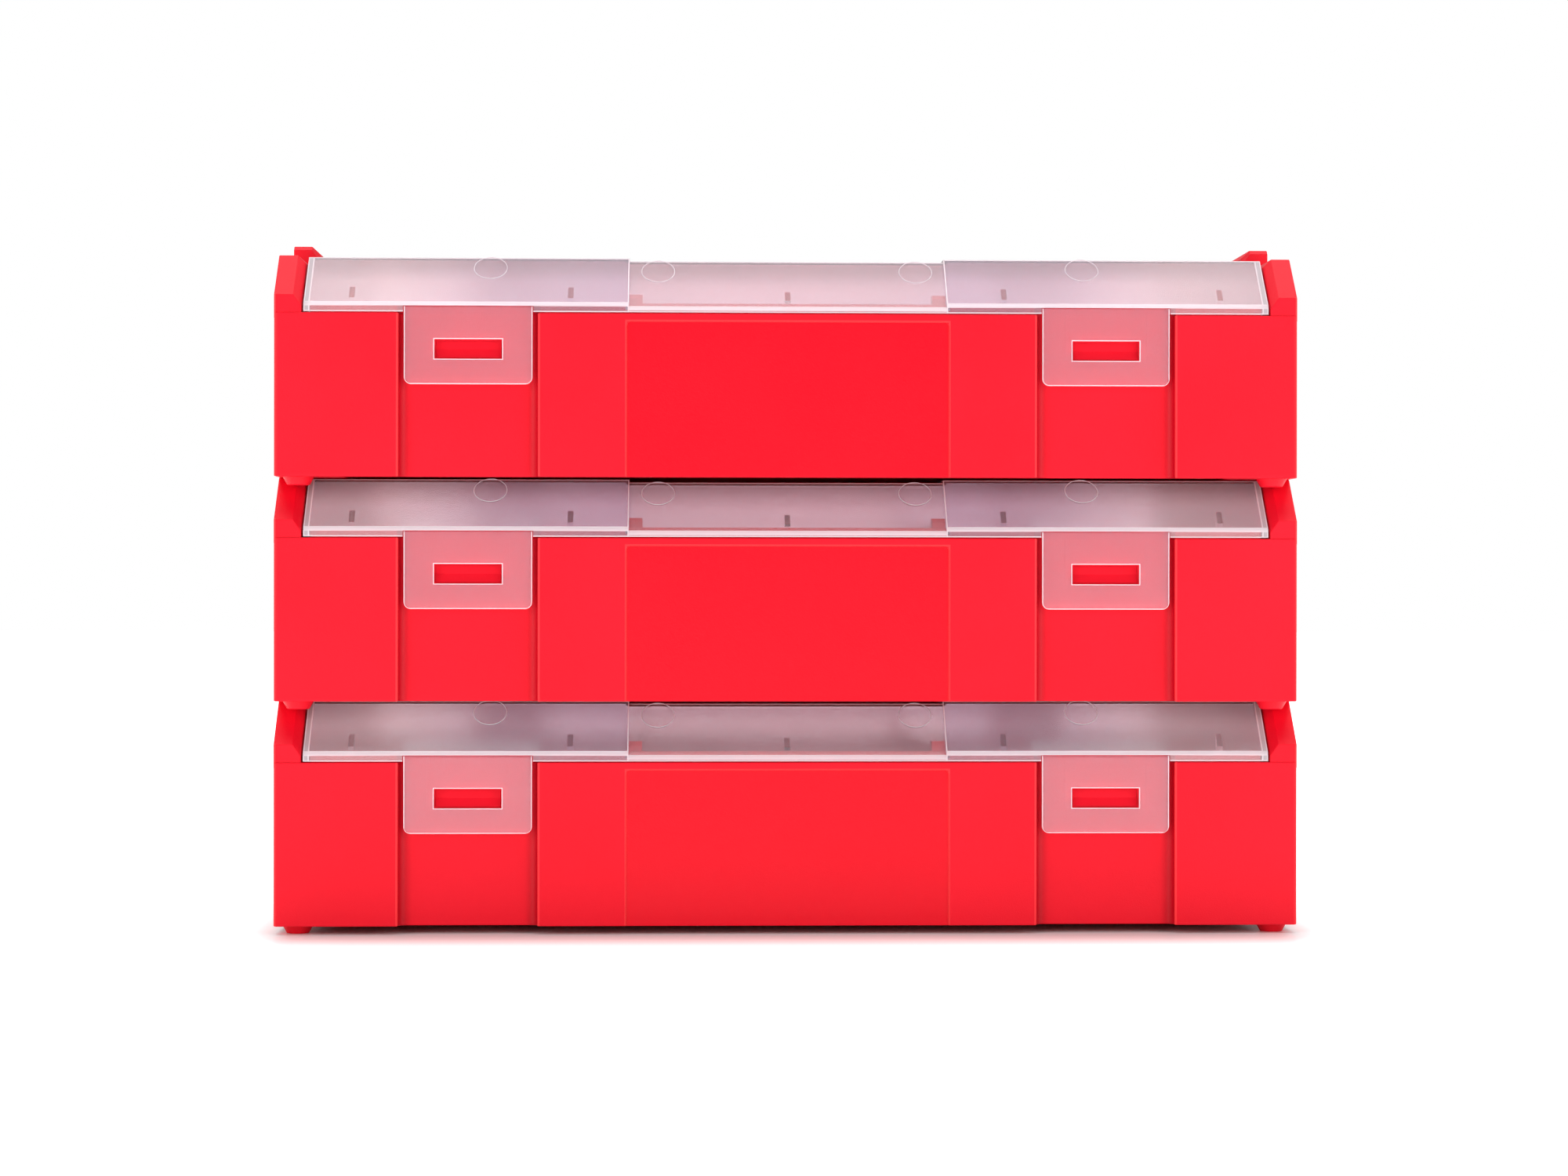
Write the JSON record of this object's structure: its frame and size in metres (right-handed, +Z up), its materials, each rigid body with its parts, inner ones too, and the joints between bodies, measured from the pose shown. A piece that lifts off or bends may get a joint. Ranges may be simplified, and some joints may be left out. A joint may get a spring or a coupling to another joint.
{
  "type": "stackable storage bin",
  "caption": "Stack of shallow red storage bins with hinged translucent lids, front clasps, dividers and side rails that nest under the next bin.",
  "frame": {"origin": "centre of the stack's footprint, on the plane that the lowest feet stand on", "axes": "+X across the bins, -Y towards the clasps at the front, +Z up"},
  "size_m": [0.37, 0.28, 0.254],
  "materials": {
    "red_plastic": "fine-textured moulded polypropylene",
    "clear_plastic": "milky translucent polypropylene"
  },
  "bodies": {
    "bottom_bin": {"bottom_tray": "red_plastic", "bottom_hinge_pins": "red_plastic", "bottom_divider_left": "red_plastic", "bottom_divider_right": "red_plastic", "bottom_cross_dividers": "red_plastic"},
    "bottom_lid": {"bottom_lid": "clear_plastic"},
    "bottom_clasp_left": {"bottom_clasp_left": "clear_plastic"},
    "bottom_clasp_right": {"bottom_clasp_right": "clear_plastic"},
    "middle_bin": {"middle_tray": "red_plastic", "middle_hinge_pins": "red_plastic", "middle_divider_left": "red_plastic", "middle_divider_right": "red_plastic", "middle_cross_dividers": "red_plastic"},
    "middle_lid": {"middle_lid": "clear_plastic"},
    "middle_clasp_left": {"middle_clasp_left": "clear_plastic"},
    "middle_clasp_right": {"middle_clasp_right": "clear_plastic"},
    "top_bin": {"top_tray": "red_plastic", "top_hinge_pins": "red_plastic", "top_divider_left": "red_plastic", "top_divider_right": "red_plastic", "top_cross_dividers": "red_plastic"},
    "top_lid": {"top_lid": "clear_plastic"},
    "top_clasp_left": {"top_clasp_left": "clear_plastic"},
    "top_clasp_right": {"top_clasp_right": "clear_plastic"}
  },
  "joints": [
    {"name": "middle_lift", "type": "slide", "parent": "bottom_bin", "child": "middle_bin", "axis": [0, 0, 1], "range_m": [0, 0.5]},
    {"name": "top_lift", "type": "slide", "parent": "middle_bin", "child": "top_bin", "axis": [0, 0, 1], "range_m": [0, 0.5]},
    {"name": "bottom_lid_hinge", "type": "hinge", "parent": "bottom_bin", "child": "bottom_lid", "pos_m": [0, 0.1355, 0.0665], "axis": [-1, 0, 0], "range_deg": [0, 105]},
    {"name": "bottom_clasp_left_hinge", "type": "hinge", "parent": "bottom_lid", "child": "bottom_clasp_left", "pos_m": [-0.1153, -0.139, 0.0636], "axis": [-1, 0, 0], "range_deg": [-3, 40], "stiffness_Nm_per_rad": 0.01},
    {"name": "bottom_clasp_right_hinge", "type": "hinge", "parent": "bottom_lid", "child": "bottom_clasp_right", "pos_m": [0.1153, -0.139, 0.0636], "axis": [-1, 0, 0], "range_deg": [-3, 40], "stiffness_Nm_per_rad": 0.01},
    {"name": "middle_lid_hinge", "type": "hinge", "parent": "middle_bin", "child": "middle_lid", "pos_m": [0, 0.1355, 0.1475], "axis": [-1, 0, 0], "range_deg": [0, 105]},
    {"name": "middle_clasp_left_hinge", "type": "hinge", "parent": "middle_lid", "child": "middle_clasp_left", "pos_m": [-0.1153, -0.139, 0.1446], "axis": [-1, 0, 0], "range_deg": [-3, 40], "stiffness_Nm_per_rad": 0.01},
    {"name": "middle_clasp_right_hinge", "type": "hinge", "parent": "middle_lid", "child": "middle_clasp_right", "pos_m": [0.1153, -0.139, 0.1446], "axis": [-1, 0, 0], "range_deg": [-3, 40], "stiffness_Nm_per_rad": 0.01},
    {"name": "top_lid_hinge", "type": "hinge", "parent": "top_bin", "child": "top_lid", "pos_m": [0, 0.1355, 0.2285], "axis": [-1, 0, 0], "range_deg": [0, 105]},
    {"name": "top_clasp_left_hinge", "type": "hinge", "parent": "top_lid", "child": "top_clasp_left", "pos_m": [-0.1153, -0.139, 0.2256], "axis": [-1, 0, 0], "range_deg": [-3, 40], "stiffness_Nm_per_rad": 0.01},
    {"name": "top_clasp_right_hinge", "type": "hinge", "parent": "top_lid", "child": "top_clasp_right", "pos_m": [0.1153, -0.139, 0.2256], "axis": [-1, 0, 0], "range_deg": [-3, 40], "stiffness_Nm_per_rad": 0.01}
  ],
  "couplings": [
    {"joint": "bottom_lid_hinge", "follows": "middle_lift", "rad_per_m": 3.3},
    {"joint": "middle_lid_hinge", "follows": "top_lift", "rad_per_m": 3.3}
  ]
}
